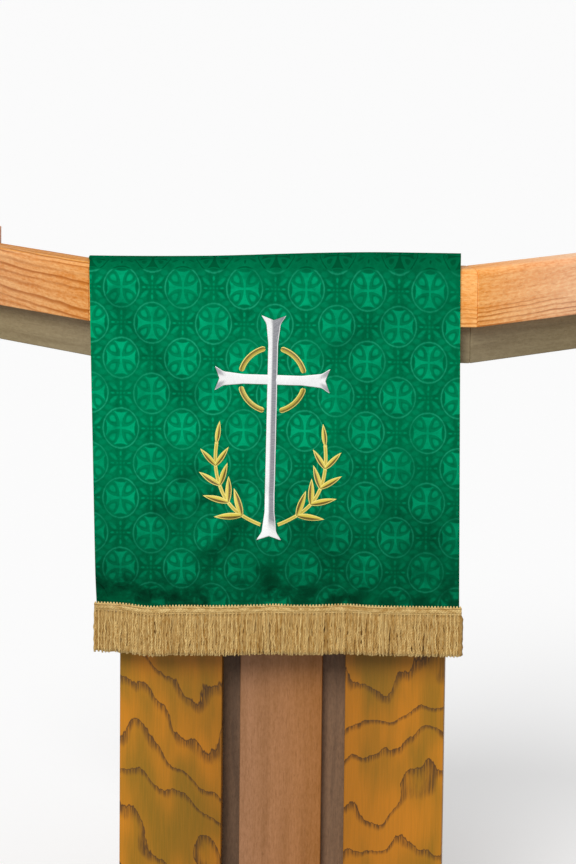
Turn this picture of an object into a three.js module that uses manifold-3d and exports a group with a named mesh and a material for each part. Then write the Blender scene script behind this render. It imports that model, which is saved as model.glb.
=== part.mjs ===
import * as THREE from 'three';
import { mergeVertices } from 'three/addons/utils/BufferGeometryUtils.js';
import Module from 'manifold-3d';

// Cloth pulpit fall, hung over the front rail of a plain wooden pulpit.
// Millimetres, +Z up, the front faces -Y. X is measured from the pulpit's middle, Z from the floor.
// The pieces are laid out with Y = 0 on the front face of the front rail, and centred at the end.

const degree = Math.PI / 180;
const seat = 0.3; // gap between a piece and the one that carries it

// The desk is half an octagon in plan: a front, two slanting wings and two straight sides.
const desk = { frontWidth: 600, wingLength: 322, wingTurn: 45 * degree, depth: 440, top: 1150 };
const rail = { height: 90, thickness: 45, nosing: 12, nosingSteps: 4 };
const apron = { height: 60, thickness: 20, setBack: 25 };
const board = { slope: 13, thickness: 16 };
const deskFloor = { thickness: 18 };

// The pedestal is a box with two broad posts in front and a sunk panel between them. The strip that
// stays open at the panel's right is broader than the one at its left.
const pedestal = { left: -254, right: 258, setBack: 60, depth: 338, postDepth: 47 };
const postInner = { left: -92.5, right: 102 };
const panel = { left: -65, right: 65, setBack: 25 };
const backing = { thickness: 15 };
const walls = { thickness: 20 };
const base = { width: 640, depth: 420, height: 60, setBack: 20 };

const cloth = {
  width: 571.5,
  thickness: 1.5,
  clear: 2, // above and before the rail
  middle: -13, // the fall hangs a little left of the pulpit's middle
  hemSwing: 9.4, // the hem swings this far to the right
  hemNarrowing: 5,
  hemRise: 4.3, // the hem's right end is this much higher than its left
  columns: 30,
};

// The cloth's way from its hem, up and over the rail, to the end of its tail on the reading board.
// A run is straight and a turn bends on a radius, both at the middle of the cloth's thickness.
const stepAngle = 45;
const heading = { height: 12, thickness: 2 };
const route = [
  { part: 'hem', run: heading.height, steps: 1 },
  { part: 'drop', run: 522, steps: 28 },
  { part: 'rail edge', turn: -90, radius: rail.nosing + cloth.clear + cloth.thickness / 2, steps: 5 },
  { part: 'rail top', run: 54, steps: 4 },
  { part: 'roll off', turn: -stepAngle, radius: 14, steps: 3 },
  { part: 'step down', run: 10, steps: 1 },
  { part: 'settle', turn: stepAngle - board.slope, radius: 16, steps: 3 },
  { part: 'tail', run: 190, steps: 5 },
];

// Soft folds of the hanging part: x from the pulpit's middle and drop below the rail's top, at the
// two ends of the fold, its half width, and its rise off the cloth (a trough is below nought).
const folds = [
  { name: 'left trough', x0: -158, drop0: 333, x1: -107, drop1: 315, half: 15, rise: -3.5 },
  { name: 'middle trough', x0: -88, drop0: 338, x1: -30, drop1: 356, half: 16, rise: -4.5 },
  { name: 'small trough', x0: -193, drop0: 384, x1: -162, drop1: 373, half: 14, rise: -3 },
  { name: 'slanting crease', x0: -65, drop0: 413, x1: -116, drop1: 467, half: 15, rise: -6.5 },
  { name: 'broad trough', x0: 23, drop0: 393, x1: 79, drop1: 467, half: 26, rise: -8 },
  { name: 'hem trough', x0: -8, drop0: 482, x1: -8, drop1: 527, half: 16, rise: -5 },
  { name: 'right hem trough', x0: 48, drop0: 487, x1: 100, drop1: 511, half: 22, rise: -5 },
  { name: 'left ridge', x0: -128, drop0: 432, x1: -68, drop1: 377, half: 20, rise: 3.5 },
  { name: 'middle ridge', x0: -20, drop0: 415, x1: -30, drop1: 455, half: 26, rise: 5 },
  { name: 'right ridge', x0: 132, drop0: 470, x1: 150, drop1: 495, half: 32, rise: 3.5 },
  { name: 'left belly', x0: -205, drop0: 170, x1: -190, drop1: 250, half: 90, rise: 2.5 },
  { name: 'right belly', x0: 190, drop0: 200, x1: 200, drop1: 340, half: 80, rise: 2.5 },
];
// The hem isn't level: places across the cloth where it hangs lower, and one where it is drawn up.
const hemSags = [
  { name: 'left sag', at: -203, half: 34, deep: 4.5 },
  { name: 'broad sag', at: -120, half: 75, deep: 3 },
  { name: 'right rise', at: 112, half: 40, deep: -2 },
];
const hemTurn = { reach: 85, depth: 11, cornerReach: 90, cornerDepth: 9 }; // the hem leans in
const topLift = { height: 16, from: -280, to: 190 }; // the fold on the rail stands up to the right

const fringe = {
  strands: 96,
  overhang: 4, // its heading is this much longer than the cloth is wide, at each end
  length: 66,
  width: 3.75,
  depth: 2.4,
  root: 4,
  steps: 2,
  sway: 0.55,
};

// Embroidered emblem: a silver cross with flared ends, a gold ring about its crossing and two gold
// sprays of leaves. Heights are above the foot of the cross.
const emblem = { x: -18, foot: 722, height: 352, tilt: 0.75 * degree, gap: 0.4, thickness: 1.2 };
const cross = { span: 178, crossing: 252, stem: 15, flare: 38, flareLength: 44, notch: 7 };
const ring = { radius: 50, width: 8.5, arc: 62 * degree };
const spray = {
  foot: { x: 13, z: 24 },
  bend: { x: 96, z: 52 },
  tip: { x: 84, z: 152 },
  stem: 5.5,
  leafRoot: 7, // how far a leaf starts back inside the stem
  leaves: 5,
  leafLength: 50,
  leafWidth: 22,
};

const wood = {
  rail: new THREE.MeshStandardMaterial({ color: 0xe4a167, roughness: 0.45, metalness: 0 }),
  apron: new THREE.MeshStandardMaterial({ color: 0x8a7e65, roughness: 0.6, metalness: 0 }),
  board: new THREE.MeshStandardMaterial({ color: 0xd99a60, roughness: 0.5, metalness: 0 }),
  post: new THREE.MeshStandardMaterial({ color: 0x9c6b25, roughness: 0.5, metalness: 0 }),
  panel: new THREE.MeshStandardMaterial({ color: 0x916643, roughness: 0.55, metalness: 0 }),
  dark: new THREE.MeshStandardMaterial({ color: 0x473930, roughness: 0.65, metalness: 0 }),
};
const fabric = {
  green: new THREE.MeshStandardMaterial({ color: 0x048058, roughness: 0.6, metalness: 0 }),
  gold: new THREE.MeshStandardMaterial({ color: 0xb49054, roughness: 0.6, metalness: 0 }),
  silverThread: new THREE.MeshStandardMaterial({ color: 0xe6e8e6, roughness: 0.35, metalness: 0 }),
  goldThread: new THREE.MeshStandardMaterial({ color: 0xb08a2c, roughness: 0.35, metalness: 0 }),
};

const wasm = await Module();
wasm.setup();

const pulpitFall = new THREE.Group();

function addPiece(name, geometry, material) {
  const mesh = new THREE.Mesh(geometry, material);
  mesh.name = name;
  pulpitFall.add(mesh);
}

// A closed geometry with only its shared corners left.
function bareGeometry(geometry) {
  const bare = geometry.clone();
  bare.deleteAttribute('normal');
  bare.deleteAttribute('uv');
  return mergeVertices(bare);
}

function toManifold(geometry) {
  const bare = bareGeometry(geometry);
  const mesh = new wasm.Mesh({
    numProp: 3,
    vertProperties: new Float32Array(bare.attributes.position.array),
    triVerts: new Uint32Array(bare.index.array),
  });
  return new wasm.Manifold(mesh);
}

function toGeometry(manifold) {
  const mesh = manifold.getMesh();
  const geometry = new THREE.BufferGeometry();
  geometry.setAttribute('position', new THREE.BufferAttribute(new Float32Array(mesh.vertProperties), 3));
  geometry.setIndex(new THREE.BufferAttribute(new Uint32Array(mesh.triVerts), 1));
  return geometry;
}

function boxBetween(low, high) {
  const size = new THREE.Vector3().subVectors(high, low);
  const geometry = new THREE.BoxGeometry(size.x, size.y, size.z);
  const centre = new THREE.Vector3().addVectors(low, high).multiplyScalar(0.5);
  return geometry.translate(centre.x, centre.y, centre.z);
}

// A shape drawn in plan (X, Y), raised from one height to another.
function raisedPlan(points, bottom, top) {
  const shape = new THREE.Shape(points);
  const geometry = new THREE.ExtrudeGeometry(shape, { depth: top - bottom, bevelEnabled: false });
  return geometry.translate(0, 0, bottom);
}

// Desk

const deskFoot = desk.top - rail.height - apron.height;

// The desk's outline in plan, from its left rear end round the front to its right rear end,
// moved in by an inset. Neighbouring sides meet on their mitre line.
function deskOutline(inset) {
  const half = desk.frontWidth / 2;
  const reach = desk.wingLength * Math.cos(desk.wingTurn);
  const recess = desk.wingLength * Math.sin(desk.wingTurn);
  const mitre = inset * Math.tan(desk.wingTurn / 2);
  const side = half + reach - inset;
  return [
    new THREE.Vector2(-side, desk.depth),
    new THREE.Vector2(-side, recess + mitre),
    new THREE.Vector2(-half + mitre, inset),
    new THREE.Vector2(half - mitre, inset),
    new THREE.Vector2(side, recess + mitre),
    new THREE.Vector2(side, desk.depth),
  ];
}

// One side of the desk in plan, between two insets, its mitred ends drawn apart by the seat gap.
function sidePlan(index, outer, inner) {
  const outerLine = deskOutline(outer);
  const innerLine = deskOutline(inner);
  const direction = new THREE.Vector2().subVectors(outerLine[index + 1], outerLine[index]).normalize();
  const start = index === 0 ? 0 : seat / 2;
  const end = index === 4 ? 0 : seat / 2;
  return [
    outerLine[index].clone().addScaledVector(direction, start),
    outerLine[index + 1].clone().addScaledVector(direction, -end),
    innerLine[index + 1].clone().addScaledVector(direction, -end),
    innerLine[index].clone().addScaledVector(direction, start),
  ];
}

// The rail's section: depth from its face and height from its foot, its front top edge rounded.
function railSection() {
  const section = new THREE.Shape();
  section.moveTo(0, 0);
  section.lineTo(rail.thickness, 0);
  section.lineTo(rail.thickness, rail.height);
  section.lineTo(rail.nosing, rail.height);
  section.absarc(rail.nosing, rail.height - rail.nosing, rail.nosing, 90 * degree, 180 * degree, false);
  return section;
}

function railPiece(index) {
  const line = deskOutline(0);
  const start = line[index];
  const along = new THREE.Vector2().subVectors(line[index + 1], start);
  const length = along.length();
  along.normalize();
  const section = new THREE.ExtrudeGeometry(railSection(), {
    depth: length,
    bevelEnabled: false,
    curveSegments: rail.nosingSteps,
  });
  const inward = new THREE.Vector3(-along.y, along.x, 0);
  const frame = new THREE.Matrix4().makeBasis(
    inward,
    new THREE.Vector3(0, 0, 1),
    new THREE.Vector3(along.x, along.y, 0),
  );
  frame.setPosition(start.x, start.y, desk.top - rail.height);
  section.applyMatrix4(frame);
  const plan = raisedPlan(sidePlan(index, -1, rail.thickness + 1), desk.top - rail.height - 1, desk.top + 1);
  return toGeometry(toManifold(section).intersect(toManifold(plan)));
}

function apronPiece(index) {
  const plan = sidePlan(index, apron.setBack, apron.setBack + apron.thickness);
  const top = desk.top - rail.height - seat;
  return raisedPlan(plan, deskFoot, top);
}

// Height of the reading board's top face, which slopes down to the rear and carries the tail.
function boardTop(y) {
  const tail = onRoute(routeLength);
  const below = cloth.thickness / 2 + seat;
  const slope = Math.tan(board.slope * degree);
  const touchY = tail.y + below * Math.sin(tail.angle);
  const touchZ = tail.z - below * Math.cos(tail.angle);
  return touchZ + (touchY - y) * slope;
}

function readingBoard() {
  const plan = deskOutline(rail.thickness + seat);
  const geometry = raisedPlan(plan, 0, 1);
  const position = geometry.attributes.position;
  const drop = board.thickness / Math.cos(board.slope * degree);
  for (let i = 0; i < position.count; i += 1) {
    const top = boardTop(position.getY(i));
    position.setZ(i, position.getZ(i) > 0.5 ? top : top - drop);
  }
  return geometry;
}

function deskFloorPiece() {
  const plan = deskOutline(apron.setBack + apron.thickness + seat);
  const rear = desk.depth - apron.thickness - seat;
  plan[0].y = rear;
  plan[5].y = rear;
  return raisedPlan(plan, deskFoot, deskFoot + deskFloor.thickness);
}

function rearApron() {
  const half = deskOutline(apron.setBack + apron.thickness + seat)[5].x;
  const drop = board.thickness / Math.cos(board.slope * degree);
  const top = boardTop(desk.depth) - drop - seat;
  return boxBetween(
    new THREE.Vector3(-half, desk.depth - apron.thickness, deskFoot),
    new THREE.Vector3(half, desk.depth, top),
  );
}

// Pedestal

function pedestalBox(low, high) {
  return boxBetween(
    new THREE.Vector3(low.x, low.y, base.height + seat),
    new THREE.Vector3(high.x, high.y, deskFoot - seat),
  );
}

function addPedestal() {
  const front = pedestal.setBack;
  const postBack = front + pedestal.postDepth;
  const backingBack = postBack + seat + backing.thickness;
  const rear = front + pedestal.depth;
  for (const side of ['left', 'right']) {
    const outer = pedestal[side];
    const edges = [outer, postInner[side]].sort((a, b) => a - b);
    const wall = [outer, outer - Math.sign(outer) * walls.thickness].sort((a, b) => a - b);
    addPiece(`post_${side}`, pedestalBox({ x: edges[0], y: front }, { x: edges[1], y: postBack }), wood.post);
    addPiece(
      `side_panel_${side}`,
      pedestalBox({ x: wall[0], y: backingBack + seat }, { x: wall[1], y: rear - walls.thickness - seat }),
      wood.post,
    );
  }
  addPiece(
    'centre_panel',
    pedestalBox({ x: panel.left, y: front + panel.setBack }, { x: panel.right, y: postBack }),
    wood.panel,
  );
  addPiece(
    'recess_board',
    pedestalBox({ x: pedestal.left, y: postBack + seat }, { x: pedestal.right, y: backingBack }),
    wood.dark,
  );
  addPiece(
    'back_panel',
    pedestalBox({ x: pedestal.left, y: rear - walls.thickness }, { x: pedestal.right, y: rear }),
    wood.post,
  );
  addPiece(
    'base_board',
    boxBetween(
      new THREE.Vector3(-base.width / 2, base.setBack, 0),
      new THREE.Vector3(base.width / 2, base.setBack + base.depth, base.height),
    ),
    wood.post,
  );
}

// Cloth

const legs = route.map((leg) => ({
  ...leg,
  length: leg.run ?? Math.abs(leg.turn) * degree * leg.radius,
}));
const routeLength = legs.reduce((sum, leg) => sum + leg.length, 0);
const dropLength = legs[0].length + legs[1].length;
const hemFoot = desk.top - rail.nosing - dropLength;

// Where the cloth is, and which way it heads, after a length s up from its hem.
function onRoute(s) {
  let left = s;
  const place = { y: -(cloth.clear + cloth.thickness / 2), z: hemFoot, angle: 90 * degree };
  for (const leg of legs) {
    const done = Math.min(left, leg.length);
    if (leg.run) {
      place.y += done * Math.cos(place.angle);
      place.z += done * Math.sin(place.angle);
    } else {
      const bent = place.angle + (leg.turn * degree * done) / leg.length;
      const side = Math.sign(leg.turn) * leg.radius;
      place.y += side * (Math.sin(bent) - Math.sin(place.angle));
      place.z -= side * (Math.cos(bent) - Math.cos(place.angle));
      place.angle = bent;
    }
    left -= done;
    if (left <= 0) {
      break;
    }
  }
  return place;
}

// How far the folds lift the hanging cloth off its plane at a place on it.
function foldRise(x, drop) {
  let rise = 0;
  for (const fold of folds) {
    const runX = fold.x1 - fold.x0;
    const runDrop = fold.drop1 - fold.drop0;
    const share = ((x - fold.x0) * runX + (drop - fold.drop0) * runDrop) / (runX ** 2 + runDrop ** 2);
    const near = THREE.MathUtils.clamp(share, 0, 1);
    const away = Math.hypot(x - fold.x0 - near * runX, drop - fold.drop0 - near * runDrop);
    rise += fold.rise * Math.exp(-((away / fold.half) ** 2));
  }
  return rise;
}

// How far the hem hangs below its level at a place across the cloth.
function hemSag(u) {
  return hemSags.reduce((sum, sag) => sum + sag.deep * Math.exp(-(((u - sag.at) / sag.half) ** 2)), 0);
}

// The middle of the cloth's thickness: u across it from its middle, s up it from its hem.
function clothPoint(u, s) {
  const place = onRoute(Math.max(s, 0));
  const fallen = THREE.MathUtils.clamp((dropLength - s) / dropLength, 0, 1);
  const narrow = 1 - (fallen * cloth.hemNarrowing) / cloth.width;
  const x = cloth.middle + u * narrow + fallen * cloth.hemSwing;
  let y = place.y;
  let z = place.z + fallen * cloth.hemRise * (u / cloth.width) - fallen ** 4 * hemSag(u);
  if (fallen > 0) {
    const drop = desk.top - place.z;
    const hemShare = THREE.MathUtils.clamp(1 - s / hemTurn.reach, 0, 1);
    const fromCorner = u + cloth.width / 2;
    const cornerShare = THREE.MathUtils.clamp(1 - fromCorner / hemTurn.cornerReach, 0, 1);
    y -= foldRise(x, drop);
    y += hemShare ** 2 * (hemTurn.depth + cornerShare * hemTurn.cornerDepth);
  }
  const liftStart = dropLength - heading.height;
  const liftEnd = routeLength - legs.at(-1).length;
  if (s > liftStart && s < liftEnd) {
    const across = THREE.MathUtils.smoothstep(u, topLift.from, topLift.to);
    z += topLift.height * across * Math.sin((Math.PI * (s - liftStart)) / (liftEnd - liftStart)) ** 2;
  }
  return new THREE.Vector3(x, y, z);
}

// A point at a height n off the middle of the cloth, on its face side where n is above nought.
function offCloth(u, s, n) {
  const reach = 0.5;
  const across = clothPoint(u + reach, s).sub(clothPoint(u - reach, s));
  const up = clothPoint(u, s + reach).sub(clothPoint(u, Math.max(s - reach, 0)));
  const normal = across.cross(up).normalize();
  return clothPoint(u, s).addScaledVector(normal, n);
}

// The stations along the cloth, in lengths from its hem.
function stationsAlong() {
  const stations = [0];
  let start = 0;
  for (const leg of legs) {
    for (let i = 1; i <= leg.steps; i += 1) {
      stations.push(start + (leg.length * i) / leg.steps);
    }
    start += leg.length;
  }
  return stations;
}

const clothColumns = Array.from(
  { length: cloth.columns + 1 },
  (_, column) => (column / cloth.columns - 0.5) * cloth.width,
);

// A sheet that lies on the cloth's form over some of its stations, with its back and face at two
// heights off the middle of the cloth. Both sides are folded along the same diagonals, so sheets
// at different heights stay evenly apart.
function sheetOnCloth(stations, back, face, across = clothColumns) {
  const rows = stations.length - 1;
  const wide = across.length;
  const points = [back, face].flatMap((n) => stations.flatMap((s) => across.map((u) => offCloth(u, s, n))));
  const at = (side, row, column) => (side * (rows + 1) + row) * wide + column;
  const triangles = [];
  const quad = (a, b, c, d) => triangles.push(a, b, c, a, c, d);
  for (let row = 0; row < rows; row += 1) {
    for (let column = 0; column < wide - 1; column += 1) {
      const corners = [[row, column], [row, column + 1], [row + 1, column + 1], [row + 1, column]];
      const [a, b, c, d] = corners.map(([r, k]) => at(1, r, k));
      const [e, f, g, h] = corners.map(([r, k]) => at(0, r, k));
      quad(a, b, c, d);
      triangles.push(e, g, f, e, h, g);
    }
    const last = wide - 1;
    quad(at(0, row, 0), at(1, row, 0), at(1, row + 1, 0), at(0, row + 1, 0));
    quad(at(1, row, last), at(0, row, last), at(0, row + 1, last), at(1, row + 1, last));
  }
  for (let column = 0; column < wide - 1; column += 1) {
    quad(at(0, 0, column), at(0, 0, column + 1), at(1, 0, column + 1), at(1, 0, column));
    quad(at(0, rows, column + 1), at(0, rows, column), at(1, rows, column), at(1, rows, column + 1));
  }
  const geometry = new THREE.BufferGeometry().setFromPoints(points);
  geometry.setIndex(triangles);
  return geometry;
}

// Fringe

const headingBack = cloth.thickness / 2 + seat;
const headingFace = headingBack + heading.thickness;
const headingLength = cloth.width + 2 * fringe.overhang;
const headingColumns = [-headingLength / 2, ...clothColumns, headingLength / 2];

// An even spread of small differences from strand to strand, between -1 and 1.
function uneven(index, turn) {
  return Math.sin(index * 2.399 + turn * 1.7) * Math.cos(index * 0.731 + turn);
}

// A point in the middle of the heading's thickness, on the flat facet between two of its columns.
function inHeading(u, s) {
  const middle = (headingBack + headingFace) / 2;
  const next = headingColumns.findIndex((edge) => edge > u);
  const left = headingColumns[next - 1];
  const right = headingColumns[next];
  const share = (u - left) / (right - left);
  const foot = offCloth(left, 0, middle).lerp(offCloth(right, 0, middle), share);
  const top = offCloth(left, heading.height, middle).lerp(offCloth(right, heading.height, middle), share);
  return foot.lerp(top, s / heading.height);
}

// One strand: rooted in the heading, then hanging straight down with a little sway.
function strand(index) {
  const pitch = headingLength / fringe.strands;
  const u = (index + 0.5) * pitch - headingLength / 2;
  const length = fringe.length + 1.5 * uneven(index, 3);
  const rows = fringe.steps + 1;
  const geometry = bareGeometry(new THREE.BoxGeometry(1, rows, 1, 1, rows, 1));
  const position = geometry.attributes.position;
  for (let i = 0; i < position.count; i += 1) {
    const row = Math.round(rows / 2 - position.getY(i));
    const rooted = row === 0;
    const share = rooted ? 0 : (row - 1) / fringe.steps;
    const at = inHeading(u, rooted ? fringe.root : 0);
    const depth = row <= 1 ? heading.thickness * 0.7 : fringe.depth;
    at.x += position.getX(i) * fringe.width + share * fringe.sway * uneven(index, row);
    at.y += position.getZ(i) * -depth + share * fringe.sway * 2 * uneven(index, row + 7);
    at.z -= share * length;
    position.setXYZ(i, at.x, at.y, at.z);
  }
  return geometry;
}

function fringePiece() {
  let whole = toManifold(sheetOnCloth([0, heading.height], headingBack, headingFace, headingColumns));
  for (let index = 0; index < fringe.strands; index += 1) {
    whole = whole.add(toManifold(strand(index)));
  }
  return toGeometry(whole);
}

// Emblem

// A flat outline on the emblem (x from its middle, height above its foot), pushed through the
// layer of stitching that lies on the cloth.
function stitched(shapes, layer) {
  let cutter = null;
  for (const shape of shapes) {
    const deep = new THREE.ExtrudeGeometry(shape, { depth: 60, bevelEnabled: false, curveSegments: 4 });
    deep.translate(0, 0, -30);
    deep.rotateX(90 * degree);
    deep.rotateY(emblem.tilt);
    deep.translate(emblem.x, 0, emblem.foot);
    const solid = toManifold(deep);
    cutter = cutter ? cutter.add(solid) : solid;
  }
  return toGeometry(layer.intersect(cutter));
}

// One arm's edge, from the crossing out to its flared and notched end and back, as points.
function armPoints(centre, angle, length) {
  const half = cross.stem / 2;
  const points = [
    [half, half],
    [length - cross.flareLength, half],
    [length - cross.flareLength * 0.4, half + 3],
    [length, cross.flare / 2],
    [length - cross.notch, 0],
    [length, -cross.flare / 2],
    [length - cross.flareLength * 0.4, -half - 3],
    [length - cross.flareLength, -half],
  ];
  return points.map(([out, side]) =>
    new THREE.Vector2(out, side).rotateAround(new THREE.Vector2(), angle).add(centre),
  );
}

function crossShape() {
  const centre = new THREE.Vector2(0, cross.crossing);
  const arms = [
    { angle: 0, length: cross.span / 2 },
    { angle: -90 * degree, length: cross.crossing },
    { angle: 180 * degree, length: cross.span / 2 },
    { angle: 90 * degree, length: emblem.height - cross.crossing },
  ];
  return new THREE.Shape(arms.flatMap((arm) => armPoints(centre, arm.angle, arm.length)));
}

function ringShape(quarter) {
  const middle = (quarter + 0.5) * 90 * degree;
  const shape = new THREE.Shape();
  const inner = ring.radius - ring.width / 2;
  const outer = ring.radius + ring.width / 2;
  shape.absarc(0, cross.crossing, outer, middle - ring.arc / 2, middle + ring.arc / 2, false);
  shape.absarc(0, cross.crossing, inner, middle + ring.arc / 2, middle - ring.arc / 2, true);
  return shape;
}

// A leaf pointed at both ends, from its root out along an angle.
function leafShape(root, angle, length, width) {
  const tip = new THREE.Vector2(length, 0).rotateAround(new THREE.Vector2(), angle).add(root);
  const left = new THREE.Vector2(length * 0.4, width).rotateAround(new THREE.Vector2(), angle).add(root);
  const right = new THREE.Vector2(length * 0.4, -width).rotateAround(new THREE.Vector2(), angle).add(root);
  const shape = new THREE.Shape();
  shape.moveTo(root.x, root.y);
  shape.quadraticCurveTo(right.x, right.y, tip.x, tip.y);
  shape.quadraticCurveTo(left.x, left.y, root.x, root.y);
  return shape;
}

function sprayShapes(sign) {
  const stemLine = new THREE.QuadraticBezierCurve(
    new THREE.Vector2(sign * spray.foot.x, spray.foot.z),
    new THREE.Vector2(sign * spray.bend.x, spray.bend.z),
    new THREE.Vector2(sign * spray.tip.x, spray.tip.z),
  );
  const edges = { left: [], right: [] };
  const steps = 8;
  for (let i = 0; i <= steps; i += 1) {
    const point = stemLine.getPoint(i / steps);
    const aside = stemLine.getTangent(i / steps).rotateAround(new THREE.Vector2(), 90 * degree);
    edges.left.push(point.clone().addScaledVector(aside, spray.stem / 2));
    edges.right.unshift(point.clone().addScaledVector(aside, -spray.stem / 2));
  }
  const shapes = [new THREE.Shape([...edges.left, ...edges.right])];
  for (let i = 1; i <= spray.leaves; i += 1) {
    const share = i / spray.leaves;
    const onStem = stemLine.getPoint(share);
    const along = stemLine.getTangent(share).angle();
    const size = 1 - 0.25 * share;
    const spread = i === spray.leaves ? [0] : [-38 * degree, 38 * degree];
    for (const turn of spread) {
      const inStem = new THREE.Vector2(-spray.leafRoot, 0).rotateAround(new THREE.Vector2(), along + turn);
      const root = onStem.clone().add(inStem);
      shapes.push(leafShape(root, along + turn, spray.leafLength * size, spray.leafWidth * size * 0.5));
    }
  }
  return shapes;
}

function addEmblem(stations) {
  const upTo = stations.filter((s) => s <= dropLength - 60);
  const back = cloth.thickness / 2 + emblem.gap;
  const layer = toManifold(sheetOnCloth(upTo, back, back + emblem.thickness));
  addPiece('emblem_cross', stitched([crossShape()], layer), fabric.silverThread);
  for (let quarter = 0; quarter < 4; quarter += 1) {
    addPiece(`emblem_ring_${quarter + 1}`, stitched([ringShape(quarter)], layer), fabric.goldThread);
  }
  addPiece('emblem_spray_left', stitched(sprayShapes(-1), layer), fabric.goldThread);
  addPiece('emblem_spray_right', stitched(sprayShapes(1), layer), fabric.goldThread);
}

const stations = stationsAlong();
const half = cloth.thickness / 2;
addPiece('fall_cloth', sheetOnCloth(stations, -half, half), fabric.green);
addPiece('fall_fringe', fringePiece(), fabric.gold);
addEmblem(stations);

const sides = ['side_left', 'wing_left', 'front', 'wing_right', 'side_right'];
sides.forEach((side, index) => {
  addPiece(`rail_${side}`, railPiece(index), wood.rail);
  addPiece(`apron_${side}`, apronPiece(index), wood.apron);
});
addPiece('apron_rear', rearApron(), wood.apron);
addPiece('reading_board', readingBoard(), wood.board);
addPiece('desk_floor', deskFloorPiece(), wood.apron);
addPedestal();

// The whole stands with its middle over the origin.
const reach = new THREE.Box3().setFromObject(pulpitFall);
pulpitFall.position.set(-(reach.min.x + reach.max.x) / 2, -(reach.min.y + reach.max.y) / 2, 0);

export default pulpitFall;
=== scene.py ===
import random
from math import atan2, copysign, cos, exp, hypot, pi, prod, radians, sin, sqrt, tan

import bpy
import bmesh
from mathutils import Matrix, Quaternion, Vector, noise


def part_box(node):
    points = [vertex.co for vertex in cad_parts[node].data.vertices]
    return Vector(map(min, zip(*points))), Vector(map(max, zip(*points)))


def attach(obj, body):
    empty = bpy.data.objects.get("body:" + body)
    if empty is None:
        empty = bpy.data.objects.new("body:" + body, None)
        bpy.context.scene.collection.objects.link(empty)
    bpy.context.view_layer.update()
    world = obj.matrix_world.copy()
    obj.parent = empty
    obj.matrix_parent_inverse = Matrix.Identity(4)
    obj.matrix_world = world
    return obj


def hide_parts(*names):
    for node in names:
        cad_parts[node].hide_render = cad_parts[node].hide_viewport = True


# Green cloth pulpit fall with a gold fringe, over the front rail of a wooden pulpit.
# Metres, +Z up, the front faces -Y. X is measured from the pulpit's middle.

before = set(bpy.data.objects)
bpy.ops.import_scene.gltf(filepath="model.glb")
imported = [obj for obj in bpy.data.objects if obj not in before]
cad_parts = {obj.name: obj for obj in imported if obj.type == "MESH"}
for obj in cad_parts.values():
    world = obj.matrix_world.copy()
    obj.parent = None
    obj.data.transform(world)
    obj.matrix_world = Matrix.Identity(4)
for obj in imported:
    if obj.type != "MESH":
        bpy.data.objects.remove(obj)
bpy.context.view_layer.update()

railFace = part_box("rail_front")[0].y
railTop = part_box("rail_front")[1].z
print("frame loaded:", len(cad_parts), "nodes")


# Camera, floor and light

view = {
    "distance": 6.7,
    "azimuth": 2.4,  # degrees to the right of straight ahead
    "elevation": 9.93,
    "roll": 0.6,
    "tall": 11.394,  # degrees from the picture's foot to its top
    "x": 0.0101,  # the middle of the picture, on the rail's front face
    "z": 0.8918,
}


def newObject(name, data):
    made = bpy.data.objects.new(name, data)
    bpy.context.scene.collection.objects.link(made)
    return made


def wayTo(azimuth, elevation):  # in degrees; azimuth is 0 straight ahead and grows to the right
    turn, high = radians(azimuth), radians(elevation)
    return Vector((sin(turn) * cos(high), -cos(turn) * cos(high), sin(high)))


def placeCamera():
    back = wayTo(view["azimuth"], view["elevation"])
    camera = bpy.data.cameras.new("Camera")
    camera.sensor_width = 36
    camera.lens = camera.sensor_width / 2 / tan(radians(view["tall"] / 2))
    camera.clip_end = 200
    stand = newObject("Camera", camera)
    stand.location = Vector((view["x"], railFace, view["z"])) + back * view["distance"]
    stand.rotation_mode = "QUATERNION"
    roll = Quaternion((0, 0, 1), radians(view["roll"]))
    stand.rotation_quaternion = (-back).to_track_quat("-Z", "Y") @ roll
    bpy.context.scene.camera = stand


studio = {
    "floor": 120,  # radius
    "floorTone": 0.9,
    "floorGlow": 0.2,
    "sky": 0.95,
    "skyStrength": 0.54,
    "key": 1.95,
    "keySoft": 28,  # degrees that the key light is wide
    "keyHigh": 34,
    "keyLeft": 14,  # degrees to the left of straight ahead
}


def lightStudio():
    light = bpy.data.lights.new("Key", "SUN")
    light.energy = studio["key"]
    light.angle = radians(studio["keySoft"])
    way = wayTo(-studio["keyLeft"], studio["keyHigh"])
    stand = newObject("Key", light)
    stand.location = way * 3
    stand.rotation_euler = (-way).to_track_quat("-Z", "Y").to_euler()
    world = bpy.data.worlds.new("Studio")
    world.use_nodes = True
    sky = {"Color": (studio["sky"],) * 3 + (1,), "Strength": studio["skyStrength"]}
    feed(world.node_tree.nodes["Background"], sky)
    bpy.context.scene.world = world
    bpy.context.scene.view_settings.view_transform = "Standard"


# Node building

def linear(*levels):  # a picture's levels, 0 to 255, as a shader takes them
    shares = [level / 255 for level in levels]
    return (*[v / 12.92 if v <= 0.04045 else ((v + 0.055) / 1.055) ** 2.4 for v in shares], 1.0)


class Signal:  # what a node puts out; + - * and / on it add Math nodes
    def __init__(self, socket):
        self.socket, self.tree = socket, socket.id_data

    def __add__(self, other):
        return maths("ADD", self, other)

    def __sub__(self, other):
        return maths("SUBTRACT", self, other)

    def __rsub__(self, other):
        return maths("SUBTRACT", other, self)

    def __mul__(self, other):
        return maths("MULTIPLY", self, other)

    def __truediv__(self, other):
        return maths("DIVIDE", self, other)

    def __abs__(self):
        return maths("ABSOLUTE", self)


def feed(node, inputs):  # links signals to a node's sockets, and sets plain values on them
    for key, value in inputs.items():
        if isinstance(value, Signal):
            value.tree.links.new(value.socket, node.inputs[key])
        else:
            node.inputs[key].default_value = value


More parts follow.
